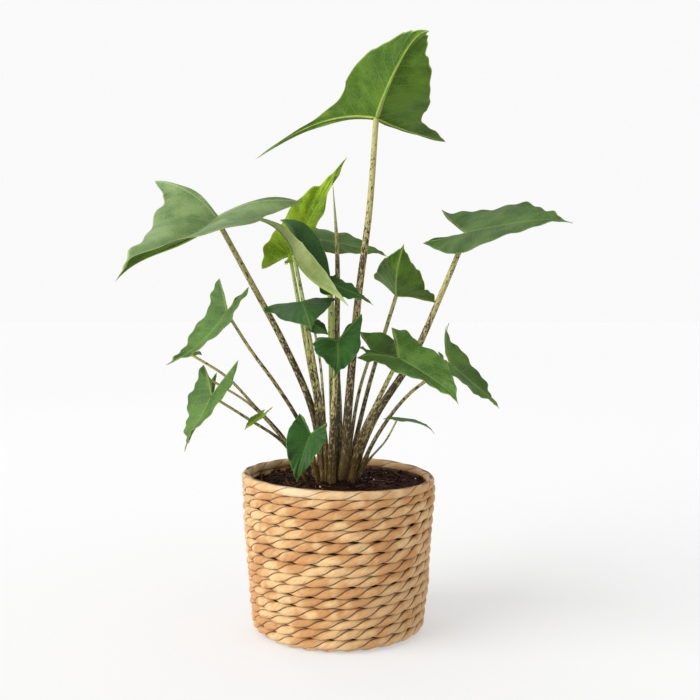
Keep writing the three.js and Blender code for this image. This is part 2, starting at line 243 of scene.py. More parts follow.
def set_shape(piece, points):
    """Moves the grid's points, given in mm, and joins the edges that meet."""
    piece.data.vertices.foreach_set("co", (np.asarray(points) * mm).ravel())
    piece.data.update()
    bpy.ops.object.select_all(action="DESELECT")
    bpy.context.view_layer.objects.active = piece
    piece.select_set(True)
    bpy.ops.object.mode_set(mode="EDIT")
    bpy.ops.mesh.select_all(action="SELECT")
    bpy.ops.mesh.remove_doubles(threshold=same_point)
    bpy.ops.object.mode_set(mode="OBJECT")
    bpy.ops.object.shade_smooth()


def mark(piece, name, values, kind="FLOAT"):
    """Keeps a number or a vector at each point for the material to read."""
    layer = piece.data.attributes.new(name, kind, "POINT")
    values = np.asarray(values, dtype=np.float32).ravel()
    layer.data.foreach_set("value" if kind == "FLOAT" else "vector", values)


def join(pieces, name):
    """Several pieces as one object of that name."""
    bpy.ops.object.select_all(action="DESELECT")
    for piece in pieces:
        piece.select_set(True)
    bpy.context.view_layer.objects.active = pieces[0]
    if len(pieces) > 1:
        bpy.ops.object.join()
    pieces[0].name = name
    pieces[0].data.name = name
    return pieces[0]


def lean(x, y, z):
    """The hand-made basket's rim drops to the right and is pinched a little at the back left."""
    rise = np.clip(z / basket_height, 0, 1) ** 2
    off_pinch = (np.degrees(np.arctan2(y, x)) - pinch_heading) / pinch_spread
    inwards = 1 - pinch * rise * np.exp(-off_pinch**2)
    return np.stack([x * inwards, y * inwards, z - math.tan(rim_tilt) * x * rise], -1)


def rope_ring(name, radius, middle, half_height, turns, seed, depth=rope_depth, core=0.34, uneven=1.0):
    """A closed ring of two strands twisted together, with each point's depth in the hollows marked for the
    painted shade there.

    Core is how far a strand's middle lies from the rope's, as a share of the rope's half height.
    """
    strands = []
    for strand in range(2):
        piece, along, about = flat_grid(f"{name}_{strand}", round(turns * strand_steps), strand_sides)
        around = 2 * math.pi * along + math.pi / 2
        wander = np.sin(2 * around + seed * 1.7) + 0.7 * np.sin(5 * around + seed * 2.9)
        twist = 2 * math.pi * turns * along + seed * 2.4 + strand * math.pi + 0.3 * uneven * wander
        twist = twist - tightness * np.sin(2 * twist)
        swell = 0.02 * uneven * np.sin(9 * around + seed + 2 * strand)
        swell = swell + 0.012 * np.sin(23 * around + 3 * seed)
        plump = strand_reach - core + swell
        groove = np.sqrt(plump**2 - core**2)
        turn = 2 * math.pi * about + twist + math.pi
        out = core * np.cos(twist) + plump * np.cos(turn)
        up = core * np.sin(twist) + plump * np.sin(turn)
        drift = 0.45 * uneven * np.sin(3 * around + seed * 0.8)
        reach = radius + drift + out * depth
        height = middle + up * half_height + 0.35 * uneven * np.sin(2 * around + seed * 1.3)
        from_core = np.hypot(out, up)
        facing = np.arctan2(up, out)
        squared = np.abs(np.cos(facing)) ** squareness + np.abs(np.sin(facing)) ** squareness
        from_row = np.abs(from_core * np.sin(facing) * squared ** (-1 / squareness))
        # Painted shade: how deep each point lies in the crease between the two strands and in the gap between
        # rows, for the material to darken.
        shade_between_strands = 1 - np.clip((from_core - groove + 0.01) / (0.42 * (strand_reach - groove)), 0, 1)
        shade_between_rows = 0.85 * np.clip((from_row - 0.83) / 0.15, 0, 1)
        mark(piece, "hollow_shade", np.maximum(shade_between_strands, shade_between_rows))
        set_shape(piece, lean(reach * np.cos(around), reach * np.sin(around), height))
        strands.append(piece)
    return join(strands, name)


def rope_finish(name, light, tan, brown, hollow_shade, wear=1.0, painted_highlight=None):
    """Dried stems in three browns, fibres along the ply and painted shade in the hollows; the last argument,
    if given, is a painted highlight: its middle and its colour.
    """
    material, start = new_finish(name)
    place = start.node("TexCoord", out="Object")
    ply = start.node("UVMap", out="UV", uv_map="UVMap")
    fibres = speckle(shifted(stretch(ply, 34, 26, 0), stretch(place, 60, 60, 60)), 1.0, 5, 0.62)
    hairs = speckle(shifted(stretch(ply, 90, 70, 0), stretch(place, 60, 60, 60)), 1.0, 3, 0.6)
    stems = speckle(place, 42, 2, 0.5)
    patches = speckle(place, 9, 1, 0.5)
    paint = blend(ease(stems + (patches - 0.5) * 0.5, 0.38, 0.62), tan, light)
    paint = blend(ease(patches + (stems - 0.5) * 0.4, 0.5, 0.7) * 0.3, paint, brown)
    paint = blend(ease(fibres, 0.48, 0.72) * (0.55 * wear), paint, brown)
    paint = blend(ease(hairs, 0.56, 0.76) * (0.35 * wear), paint, light)
    # Painted highlight: a pale patch on the rim's front left, where the light falls on it.
    if painted_highlight:
        middle, highlight_colour = painted_highlight
        off = place.node("VectorMath", {0: place, 1: middle}, out="Value", operation="DISTANCE")
        paint = blend((1.0 - ease(off + (fibres - 0.5) * 0.01, 0.01, 0.026)) * 0.6, paint, highlight_colour)
    # Painted shade: the hollows between strands and rows are darkened towards the last, dark brown colour.
    deep = start.node("Attribute", out="Fac", attribute_name="hollow_shade")
    paint = blend(ease(deep + (fibres - 0.5) * 0.2, 0.3, 0.9), paint, hollow_shade)
    relief = fibres + hairs * 0.35
    surface(paint, 0.56 + ease(fibres, 0.3, 0.7) * 0.24, bump(relief, 0.0019), sheen=0.1)
    return material


rope = rope_finish("hyacinth_rope", colour(245, 204, 143), colour(212, 154, 91), colour(162, 102, 49),
                   colour(66, 34, 12))
for row, (top, bottom) in enumerate(zip(row_edges, row_edges[1:]), start=1):
    middle = (top + bottom) / 2
    ring = rope_ring(f"wall_row_{row}", wall_radius(middle) - rope_inset, middle,
                     (top - bottom) / 2 + row_overlap, ply_turns, seed=row)
    ring.data.materials.append(rope)
    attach(ring, "root")
    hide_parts("basket_wall")

# Rim: the top row is folded over the edge of the basket and worked flatter and smoother,
# with long shallow plies and a painted highlight: one pale smooth stretch in front on the left, where the
# light falls.
rim_top = 163
rim_bottom = 154.2
rim_middle = (rim_top + rim_bottom) / 2 - 0.3
rim_half_height = (rim_top - rim_bottom) / 2 + 0.5
rim_turns = 9
rim_core = 0.13
# Where the painted highlight on the rim lies, in metres.
highlight_middle = (-0.04, -0.09, 0.16)
rim = rope_ring("rim_row", wall_radius(159) - rope_inset, rim_middle, rim_half_height, rim_turns, seed=4.2,
                core=rim_core, uneven=0.8)
rim.data.materials.append(rope_finish(
    "rim_rope", colour(244, 208, 154), colour(222, 174, 114), colour(180, 126, 70), colour(88, 50, 22),
    wear=0.7, painted_highlight=(highlight_middle, colour(248, 226, 186)),
))
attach(rim, "root")
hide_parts("basket_rim")

# Base: the same rope coiled flat under the liner and sewn turn to turn, as rings inside one another.
# It is what the basket stands on.
base_height = 8.4
coil_count = 9
coil_step = 9
coil_depth = 4.6
plies_per_mm = 0.157
coils = []
for turn in range(1, coil_count + 1):
    radius = coil_step * turn
    coils.append(rope_ring(f"coil_{turn}", radius, base_height / 2, base_height / 2,
                           max(1, round(radius * plies_per_mm)), seed=turn * 1.9, depth=coil_depth,
                           uneven=0.0 if turn < 3 else 0.6))
base = join(coils, "base_coil")
base.data.materials.append(rope)
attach(base, "root")
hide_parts("basket_base")

# Liner: a thin dark film cup inside the rope that keeps soil and water in. Only its edge shows, slightly
# creased and dusty;
# its brown is painted shade, the colour of the rope's inner wall in shadow.
film, start = new_finish("liner_film")
place = start.node("TexCoord", out="Object")
creases = speckle(stretch(place, 1, 1, 0.35), 70, 4, 0.6)
dust = speckle(place, 240, 4)
# Painted shade: the film's brown stands in for the shaded inner wall of the rope; the lighter flecks are
# dust.
shade_and_dust_colour = blend(ease(dust, 0.45, 0.75) * 0.5, colour(84, 54, 32), colour(128, 90, 56))
surface(shade_and_dust_colour, 0.5 + dust * 0.3, bump(creases, 0.0012))
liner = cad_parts["plastic_liner"]
liner.data.materials.clear()
liner.data.materials.append(film)

# Soil: dark peat-based potting soil, crumbly and uneven, about 10 mm under the rim and heaped at the plant.
# The CAD block stays as the fill, and a crumbled top layer lies on it.
soil_level = 149.7
soil_radius = 91.4
soil_heap = 2.6
mound = 5.5
mound_middle = -7
mound_spread = (38, 34)


def soil_finish(name, deep, brown, fleck):
    material, start = new_finish(name)
    place = start.node("TexCoord", out="Object")
    crumbs = speckle(place, 320, 6, 0.7)
    clods = speckle(place, 90, 3, 0.6)
    threads = speckle(stretch(place, 1, 0.18, 0.5), 700, 2, 0.5)
    paint = blend(ease(clods + (crumbs - 0.5) * 0.6, 0.35, 0.7), deep, brown)
    paint = blend(ease(threads, 0.62, 0.72) * 0.55, paint, fleck)
    surface(paint, 0.86 + crumbs * 0.12, bump(crumbs + clods * 0.6, 0.003), shine=0.12)
    return material


peat = soil_finish("peat", colour(24, 11, 6), colour(62, 35, 19), colour(120, 74, 42))
for name in ("soil", "crown"):
    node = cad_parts[name]
    node.data.materials.clear()
    node.data.materials.append(peat)


def soil_swell(a, b):
    """The broad unevenness of the soil at one place, in mm."""
    return 1.9 * noise.turbulence(Vector((a * 0.06, b * 0.06, 3.1)), 4, False)


def soil_mound(a, b):
    """How far the soil is heaped towards the plant, in mm."""
    return mound * np.exp(-(((a - mound_middle) / mound_spread[0]) ** 2 + (b / mound_spread[1]) ** 2))


top_layer, around, outwards = flat_grid("soil_top", 150, 52)
angle = 2 * math.pi * around
reach = soil_radius * outwards
x = reach * np.cos(angle)
y = reach * np.sin(angle)
lumps = np.array([soil_swell(a, b) + 0.9 * noise.noise(Vector((a * 0.3, b * 0.3, 8))) for a, b in zip(x, y)])
edge_drop = 1.4 * np.clip((outwards - 0.9) / 0.1, 0, 1)
set_shape(top_layer, np.stack([x, y, soil_level + soil_heap + lumps + soil_mound(x, y) - edge_drop], -1))
top_layer.data.materials.append(peat)
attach(top_layer, "root")

# Crumbs, flecks and fibres: loose bits of peat, bark fibre and white perlite lying on the soil.
# One lump and one fibre are shaped and copied about.
luck = np.random.default_rng(11)
whole_turn = 6.3
crumb_count = 420
fleck_count = 16
fibre_count = 90
fibre_steps = 13


def soil_height(a, b):
    return soil_level + soil_heap + soil_swell(a, b) + float(soil_mound(a, b))


def copies(piece, name, placements, finish):
    """Copies of one small piece, each at its own place and size, as one object."""
    merged = bmesh.new()
    for placement in placements:
        first = len(merged.verts)
        merged.from_mesh(piece.data)
        merged.verts.ensure_lookup_table()
        bmesh.ops.transform(merged, matrix=placement, verts=merged.verts[first:])
    made = bpy.data.objects.new(name, bpy.data.meshes.new(name))
    bpy.context.scene.collection.objects.link(made)
    merged.to_mesh(made.data)
    merged.free()
    bpy.data.objects.remove(piece)
    made.data.materials.clear()
    made.data.materials.append(finish)
    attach(made, "root")


def small_lump():
    """A rough lump about 1 across each way from its middle."""
    bpy.ops.object.select_all(action="DESELECT")
    bpy.ops.mesh.primitive_ico_sphere_add(subdivisions=2, radius=1)
    lump = bpy.context.object
    for vertex in lump.data.vertices:
        vertex.co *= 1 + 0.45 * noise.noise(vertex.co * 1.7)
    return lump


def litter(count, smallest, largest, widest):
    """Places for lumps of random size and turn, strewn over the soil and sunk in a little."""
    placements = []
    while len(placements) < count:
        a, b = luck.uniform(-widest, widest, 2)
        if math.hypot(a, b) > widest:
            continue
        size = luck.uniform(smallest, largest)
        turn = Euler(luck.uniform(0, whole_turn, 3)).to_matrix().to_4x4()
        scale = Matrix.Diagonal((size, size * luck.uniform(0.6, 1), size * luck.uniform(0.5, 0.9), 1))
        height = soil_height(a, b) + size * 0.25
        placements.append(Matrix.Scale(mm, 4) @ Matrix.Translation((a, b, height)) @ turn @ scale)
    return placements


copies(small_lump(), "soil_crumbs", litter(crumb_count, 0.7, 2.3, 89), peat)
perlite, start = new_finish("perlite")
grain = speckle(start.node("TexCoord", out="Object"), 900, 4, 0.7)
perlite_colour = blend(grain, colour(206, 196, 176), colour(238, 232, 218))
surface(perlite_colour, 0.85 + grain * 0.1, bump(grain, 0.0006))
copies(small_lump(), "soil_flecks", litter(fleck_count, 0.6, 1.2, 84), perlite)


def rod(name, line, radii, sides, arc=1.0):
    """A grid wrapped round a line of points in mm, with each point's lay on the rod marked.

    Arc is the share of the way round that is covered, so that a sheath can stand open.
    """
    line = np.asarray(line, float)
    radii = np.asarray(radii, float)
    steps = len(line) - 1
    tangents = np.gradient(line, axis=0)
    tangents /= np.linalg.norm(tangents, axis=1)[:, None]
    normals = np.zeros_like(line)
    normal = np.cross(tangents[0], (0.96, 0.1, 0.2))
    for index, tangent in enumerate(tangents):
        normal = normal - tangent * normal.dot(tangent)
        normal /= np.linalg.norm(normal)
        normals[index] = normal
    others = np.cross(tangents, normals)
    lengths = np.concatenate([[0], np.cumsum(np.linalg.norm(np.diff(line, axis=0), axis=1))])
    piece, along, about = flat_grid(name, steps, sides)
    index = np.rint(along * steps).astype(int)
    turn = -2 * math.pi * about * np.broadcast_to(arc, len(line))[index]
    ring = np.cos(turn)[:, None] * normals[index] + np.sin(turn)[:, None] * others[index]
    mark(piece, "lay", np.stack([
        np.cos(turn) * radii[index] * mm, np.sin(turn) * radii[index] * mm, lengths[index] * mm,
    ], -1), "FLOAT_VECTOR")
    set_shape(piece, line[index] + ring * radii[index][:, None])
    return piece


fibre_line = [
    [step, 0.7 * math.sin(step * 0.5), 0.5 * math.sin(step * 0.37)]
    for step in np.linspace(-6, 6, fibre_steps)
]
fibre = rod("fibre", fibre_line, np.full(fibre_steps, 0.22), sides=5)
fibre.data.transform(Matrix.Scale(1 / mm, 4))
bark, start = new_finish("bark_fibre")
grain = speckle(start.node("TexCoord", out="Object"), 300, 3)
surface(blend(grain, colour(96, 62, 38), colour(168, 126, 84)), 0.75 + grain * 0.2, bump(grain, 0.0003))
fibre_places = []
for number in range(fibre_count):
    angle = luck.uniform(0, 2 * math.pi)
    spread = 84 * math.sqrt(luck.uniform(0.05, 1))
    a, b = spread * math.cos(angle), spread * math.sin(angle)
    turn = Euler((luck.uniform(-0.2, 0.2), luck.uniform(-0.25, 0.25), luck.uniform(0, whole_turn)))
    place = Matrix.Translation((a, b, soil_height(a, b) + 1.0))
    fibre_places.append(Matrix.Scale(mm, 4) @ place @ turn.to_matrix().to_4x4()
                        @ Matrix.Scale(luck.uniform(0.5, 1.1), 4))
copies(fibre, "soil_fibres", fibre_places, bark)


# Stalks: fleshy round leaf stalks rising from the crown, the thicker ones out of their own clasping sheaths.
# Their skin is cream to yellow green with the dark brown zigzag bands the plant is named for.
def stalk_finish(name, pale, green, band, earth, plain=0.95):
    """Mottled skin; plain is the share of the way up by which most of the bands have gone."""
    material, start = new_finish(name)
    lay = start.node("Attribute", out="Vector", attribute_name="lay")
    share = one_of(start.node("UVMap", out="UV", uv_map="UVMap"), 0)
    length = one_of(lay, 2)
    place = start.node("TexCoord", out="Object")
    bands = start.node("TexNoise", {
        "Vector": shifted(stretch(lay, 560, 560, 190), stretch(place, 30, 30, 30)), "Scale": 1.0, "Detail": 5,
        "Roughness": 0.62, "Distortion": 0.9,
    })
    patches = speckle(place, 22, 2)
    streaks = speckle(stretch(lay, 900, 900, 40), 1.0, 3, 0.6)
    paint = blend(ease(share + (patches - 0.5) * 0.4, 0.15, 0.95), pale, green)
    paint = blend(ease(streaks, 0.5, 0.8) * 0.3, paint, earth)
    amount = bands + (patches - 0.5) * 0.25 + 0.065 - ease(share, plain - 0.75, plain) * 0.14
    paint = blend(ease(amount, 0.48, 0.53) * 0.95, paint, band)
    low = ease(0.07 - length, -0.02, 0.07)
    paint = blend(low * ease(streaks, 0.3, 0.62) * 0.9, paint, earth)
    soiled = 1.0 - ease(length + streaks * 0.012, 0.006, 0.022)
    paint = blend(soiled * 0.75, paint, colour(44, 28, 14))
    surface(paint, 0.42 + streaks * 0.2, bump(streaks, 0.0003), coat=0.03, shine=0.3)
    return material


stalk_skin = stalk_finish("zebra_stalk", colour(168, 154, 100), colour(174, 170, 104),
                          colour(48, 32, 11), colour(104, 80, 34))
pale_stalk_skin = stalk_finish("pale_stalk", colour(166, 158, 96), colour(186, 200, 116),
                               colour(54, 37, 14), colour(88, 68, 30), plain=0.72)
sheath_skin = stalk_finish("clasping_sheath", colour(164, 146, 92), colour(156, 146, 86),
                           colour(64, 45, 18), colour(112, 88, 44), plain=1.2)
pale_stalks = ("bright", "folded", "back", "dark")
stalk_sides = 16
stalk_rings = 60
thinnest_sheathed = 4.5
shortest_sheath = 4.5
sheath_sides = 10


def smooth_line(points, spots):
    """A smooth curve through the points: its places at the distances that spots gives for its length."""
    points = np.asarray(points, float)
    gaps = np.linalg.norm(np.diff(points, axis=0), axis=1)
    knots = np.concatenate([[0], np.cumsum(gaps)])
    slopes = np.gradient(points, knots, axis=0)
    where = np.clip(spots(knots[-1]), 0, knots[-1])
    span = np.clip(np.searchsorted(knots, where, side="right") - 1, 0, len(gaps) - 1)
    gap = gaps[span][:, None]
    t = ((where - knots[span]) / gaps[span])[:, None]
    curve = (
        (2 * t**3 - 3 * t**2 + 1) * points[span] + (t**3 - 2 * t**2 + t) * gap * slopes[span]
        + (3 * t**2 - 2 * t**3) * points[span + 1] + (t**3 - t**2) * gap * slopes[span + 1]
    )
    return curve, where, knots[-1]


def stalk(name, foot, route, place, across):
    """A stalk from the soil to its blade, across mm thick at its foot and top, with its sheath if it is thick
    enough.
    """
    end = across[1] / 2 * 1.1

    def spots(total):
        round_end = total - end * np.array([1, 0.65, 0.3, 0.08, 0])
        return np.concatenate([np.linspace(0, total - 1.3 * end, stalk_rings), round_end])

    line, where, total = smooth_line([[*foot, soil_level], *route, place], spots)
    radii = np.interp(where, [0, total], across) / 2 * (1 + 0.3 * np.exp(-where / 20))
    radii = radii * (1 + 0.1 * np.exp(-(total - where) / 9))
    radii = radii * np.sqrt(np.clip(1 - np.clip(1 - (total - where) / end, 0, 1) ** 2, 0, 1))
    piece = rod(f"petiole_{name}", line, radii, sides=stalk_sides)
    piece.data.materials.append(pale_stalk_skin if name in pale_stalks else stalk_skin)
    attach(piece, "root")
    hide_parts(f"stalk_{name}")
    if across[0] < thinnest_sheathed:
        return
    low = where < across[0] * (shortest_sheath + len(name) % 5)
    rise = where[low] / where[low][-1]
    wrap = rod(f"sheath_{name}", line[low], radii[low] + 0.35 + 0.9 * rise**3, sides=sheath_sides,
               arc=0.8 * (1 - rise**1.6) + 0.03)
    wrap.data.materials.append(sheath_skin)
    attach(wrap, "root")


# Blades: arrow-shaped leaves, thin and leathery, with a deep green upper side, a paler underside,
# ribs that run from the stalk to the tip and into both lobes, and a thin pale margin.
def leaf_finish(name, deep, light, vein, roughness=0.42, relief=1.0, glow=0.15, veins=0.28):
    """One side of a blade, by its marks: the place between side veins, off the ribs and to the margin."""
    material, start = new_finish(name)
    place = start.node("TexCoord", out="Object")
    marks = start.node("Attribute", out="Vector", attribute_name="veins")
    phase = one_of(marks, 0)
    rib = one_of(marks, 1)
    reach = one_of(marks, 2)
    off_middle = phase.node("Math", {0: phase}, operation="FRACT") - 0.5
    near = 2 * off_middle.node("Math", {0: off_middle}, operation="ABSOLUTE")
    line = ease(near, 0.9, 0.99) * (1.0 - ease(reach, 0.5, 0.95))
    cells = speckle(place, 520, 4, 0.6)
    patches = speckle(place, 34, 2)
    net = start.node("TexVoronoi", {"Vector": place, "Scale": 330}, out="Distance",
                     feature="DISTANCE_TO_EDGE")
    paint = blend(ease(patches + (cells - 0.5) * 0.5, 0.3, 0.7), deep, light)
    # Painted shade: the sunken flanks of each side vein, where the quilted blade dips, are darkened towards
    # the deep green.
    paint = blend(ease(near, 0.5, 0.9) * 0.18, paint, deep)
    paint = blend((1.0 - ease(rib, 0.4, 1.2)) * 0.5, paint, vein)
    paint = blend((1.0 - ease(rib, 0.4, 3.5)) * 0.12, paint, vein)
    paint = blend(line * veins, paint, vein)
    paint = blend((1.0 - ease(net, 0.0, 0.12)) * 0.14, paint, vein)
    paint = blend(ease(reach, 0.98, 0.99) * 0.8, paint, vein)
    height = (1.0 - ease(near, 0.0, 1.0)) + cells * 0.12 + ease(net, 0.0, 0.2) * 0.12
    surface(paint, roughness + cells * 0.16, bump(height, 0.0004 * relief), thin=glow, shine=0.26)
    return material


def outline_half(leaf, side):
    """Half of the flat outline, from the tip to the notch over the stalk, in mm ahead and aside."""
    length, width, lobe_length = leaf["length"], leaf["half_widths"][side], leaf["lobes"][side]
    waist, point = leaf["waists"][side], leaf["points"][side]
    splay = math.radians(leaf["splay"])
    tip = np.array([length, 0.0])
    widest = np.array([length * 0.1, width])
    lobe = lobe_length * np.array([math.cos(splay), math.sin(splay)])
    notch = np.array([length * -0.035, 0.0])
    back = widest[0] - lobe[0]
    full = np.array([lobe[0] + 0.38 * back, lobe[1] + 0.3 * abs(width - lobe[1]) + length * 0.02])
    curves = [
        (tip, [length * (0.9 - 0.22 * point), width * (0.42 - 0.4 * point)],
         [length * 0.48, width * (1 - 0.1 * point)], widest, np.linspace(0, 1, 37) ** 1.35),
        (widest, [widest[0] - 0.36 * back, width * (1 - 0.3 * waist)],
         full * (1 - waist) + lobe * 0.62 * waist, lobe, np.linspace(0, 1, 19)[1:]),
        (lobe, [lobe[0] * 0.62 - length * 0.02, lobe[1] * 0.62 - length * 0.035],
         [notch[0] - length * 0.03, length * 0.05], notch, np.linspace(0, 1, 17)[1:]),
    ]
    points = []
    for first, leaving, arriving, last, share in curves:
        t = share[:, None]
        points.append((1 - t) ** 3 * first + 3 * (1 - t) ** 2 * t * np.array(leaving)
                      + 3 * (1 - t) * t**2 * np.array(arriving) + t**3 * last)
    half = np.vstack(points)
    half[:, 0] += leaf["drip"] * np.exp(-half[:, 1] / 1.3) * (half[:, 0] > length * 0.5)
    return half


def bend_leaf(leaf, forward, left, lift):
    """Flat points moved onto the folded, curled, twisted and drooping blade, in place, in mm."""
    share = forward / leaf["length"]
    is_right = left < 0
    fold = np.radians(np.where(is_right, leaf["folds"][1], leaf["folds"][0]))
    half_width = np.where(is_right, leaf["half_widths"][1], leaf["half_widths"][0])
    per_mm = math.radians(leaf["curl"]) / half_width
    tilt = fold - per_mm * np.abs(left)
    across = (np.sin(fold) - np.sin(tilt)) / per_mm - np.sin(tilt) * lift
    rise = (np.cos(tilt) - np.cos(fold)) / per_mm + np.cos(tilt) * lift
    across = np.where(is_right, -across, across)
    twist = math.radians(leaf["twist"]) * share
    across, rise = (across * np.cos(twist) - rise * np.sin(twist),
                    across * np.sin(twist) + rise * np.cos(twist))

    def slope(part):
        over = np.maximum(0, (part - 0.55) / 0.45)
        return -np.radians(np.where(part < 0, leaf["lobe_droop"] * part / 0.6,
                                    leaf["droop"] * part + leaf["tip_droop"] * over ** 2))

    x = np.zeros_like(share)
    z = np.zeros_like(share)
    for step in range(midrib_steps):
        angle = slope(share * (step + 0.5) / midrib_steps)
        x = x + np.cos(angle) * forward / midrib_steps
        z = z + np.sin(angle) * forward / midrib_steps
    angle = slope(share)
    x = x - np.sin(angle) * rise
    z = z + np.cos(angle) * rise
    sweep = math.radians(leaf["sweep"]) * share
    sweep = np.where(np.abs(sweep) < 1e-6, 1e-6, sweep)
    local = np.stack([
        x * np.sin(sweep) / sweep - across * np.sin(sweep),
        x * (1 - np.cos(sweep)) / sweep + across * np.cos(sweep),
        z,
    ], -1)
    turns = [math.radians(angle) for angle in (leaf["roll"], -leaf["pitch"], leaf["heading"])]
    return local @ np.array(Euler(turns, "XYZ").to_matrix()).T + np.array(leaf["place"])


usual_leaf = {
    "splay": 135, "folds": [15, 15], "curl": 20, "droop": 5, "tip_droop": 10, "lobe_droop": 0, "twist": 0,
    "sweep": 0, "waists": [0.2, 0.2], "points": [0.4, 0.4], "drip": 5, "ruffle": 1.5, "waves": 8,
    "spacing": 13, "rib": 2.2,
}
midrib_steps = 12
leaf_thickness = 0.45
longest_small_leaf = 70
margin_sway = 0.011
midrib_rings = 40
lobe_rib_rings = 24
rib_sides = 8
rib_offset = 0.93
rib_skin, start = new_finish("rib_skin")
lay = start.node("Attribute", out="Vector", attribute_name="lay")
streaks = speckle(stretch(lay, 700, 700, 60), 1.0, 3)
rib_colour = blend(ease(streaks, 0.3, 0.7), colour(118, 148, 40), colour(160, 178, 74))
surface(rib_colour, 0.4 + streaks * 0.15, bump(streaks, 0.0002), thin=0.1)


def blade(name, upper, under, **choice):
    """A blade with its two faces' finishes, and the midrib and lobe ribs that stand out under it."""
    leaf = {**usual_leaf, **choice}
    left_half = outline_half(leaf, 0)
    right_half = outline_half(leaf, 1) * [1, -1]
    outline = np.vstack([left_half[::-1], right_half[1:]])
    rings = 30 if leaf["length"] > longest_small_leaf else 20
    piece, about, reach = flat_grid(f"blade_{name}", len(outline) - 1, rings)
    index = np.rint(about * (len(outline) - 1)).astype(int)
    wave = np.sin(2 * math.pi * leaf["waves"] * about + len(name))
    wave = wave + 0.6 * np.sin(5 * math.pi * leaf["waves"] * about)
    off_notch = np.clip(1 - np.abs(2 * about - 1), 0, 1)
    free = np.clip(off_notch * 8, 0, 1) * np.clip((1 - off_notch) * 6, 0, 1)
    edge = wave * reach**4 * free * leaf["ruffle"]
    forward = outline[index, 0] * reach * (1 + margin_sway * edge)
    left = outline[index, 1] * reach * (1 + margin_sway * edge)
    is_right = left < 0
    lobe_angle = math.radians(leaf["splay"])
    angle = np.arctan2(np.abs(left), forward)
    out = np.hypot(forward, left)
    lobe_off = np.abs(np.sin(angle - lobe_angle)) * out
    lobe_along = np.cos(angle - lobe_angle) * out
    in_front = angle < lobe_angle * 0.56
    along_rib = np.where(in_front, forward - 0.5 * np.abs(left), lobe_along - 0.55 * lobe_off)
    phase = along_rib / leaf["spacing"] + 0.35 * is_right
    rib = np.minimum(np.where(forward > 0, np.abs(left), 99), np.where(lobe_along > 0, lobe_off, 99))
    mark(piece, "veins", np.stack([phase + 20, rib, reach], -1), "FLOAT_VECTOR")
    set_shape(piece, bend_leaf(leaf, forward, left, edge))
    piece.data.materials.append(upper)
    piece.data.materials.append(under)
    solid = piece.modifiers.new("thickness", "SOLIDIFY")
    solid.thickness = leaf_thickness * mm
    solid.offset = 0
    solid.material_offset = 1
    bpy.ops.object.modifier_apply(modifier=solid.name)
    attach(piece, "root")
    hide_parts(f"leaf_{name}")

    ribs = []
    routes = [(np.linspace(0, 1, midrib_rings), leaf["length"] + leaf["drip"] * 0.4, 0.0, leaf["rib"])]
    for side, sign in ((0, 1), (1, -1)):
        routes.append((np.linspace(0, 0.93, lobe_rib_rings), leaf["lobes"][side] * math.cos(lobe_angle),
                       sign * leaf["lobes"][side] * math.sin(lobe_angle), leaf["rib"] * 0.6))
    for number, (shares, ahead, aside, thick) in enumerate(routes):
        radii = thick * (1 - shares) ** 1.3 + 0.2
        radii = radii * np.sqrt(np.clip(shares * 25 + 0.02, 0, 1))
        line = bend_leaf(leaf, ahead * shares, aside * shares, -rib_offset * radii)
        ribs.append(rod(f"rib_{name}_{number}", line, radii, sides=rib_sides))
    ribs = join(ribs, f"ribs_{name}")
    ribs.data.materials.append(rib_skin)
    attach(ribs, "root")


dark_top = leaf_finish("dark_leaf", colour(28, 68, 16), colour(46, 92, 28), colour(100, 136, 58),
                       relief=0.4)
mid_top = leaf_finish("green_leaf", colour(58, 94, 28), colour(92, 130, 50), colour(140, 166, 82),
                      relief=0.5)
# Partly painted sheen: the left leaf's green is greyed and lightened to stand in for the soft reflection of
# the white room on it.
sheen_grey_top = leaf_finish("sheen_grey_green_leaf", colour(88, 118, 62), colour(130, 156, 96), colour(168, 186, 128),
                       relief=0.3)
dusky_top = leaf_finish("dusky_leaf", colour(48, 78, 26), colour(78, 108, 46), colour(120, 142, 76),
                        relief=0.5)
bright_top = leaf_finish("bright_leaf", colour(112, 156, 12), colour(176, 208, 40), colour(220, 232, 110),
                         relief=2.2, glow=0.45, veins=0.4)
under_side = leaf_finish("leaf_underside", colour(56, 92, 14), colour(92, 128, 34), colour(146, 170, 62),
                         roughness=0.5, relief=-0.8, veins=0.4)
pale_under = leaf_finish("pale_underside", colour(128, 146, 78), colour(164, 178, 112),
                         colour(190, 198, 134), roughness=0.52, relief=-0.8, veins=0.4)
thickest_rib = 2.6
rib_share = 0.42


def leaf(name, upper, under, heading, pitch, roll, place, foot, across, route, **shape):
    """One leaf: its stalk from the crown to the notch, and its blade with the ribs.

    Heading, pitch and roll are in degrees, places, thicknesses and lengths in mm.
    """
    stalk(name, foot, route, place, across)
    rib = min(thickest_rib, across[1] * rib_share)
    blade(name, upper, under, heading=heading, pitch=pitch, roll=roll, place=place, **{"rib": rib, **shape})


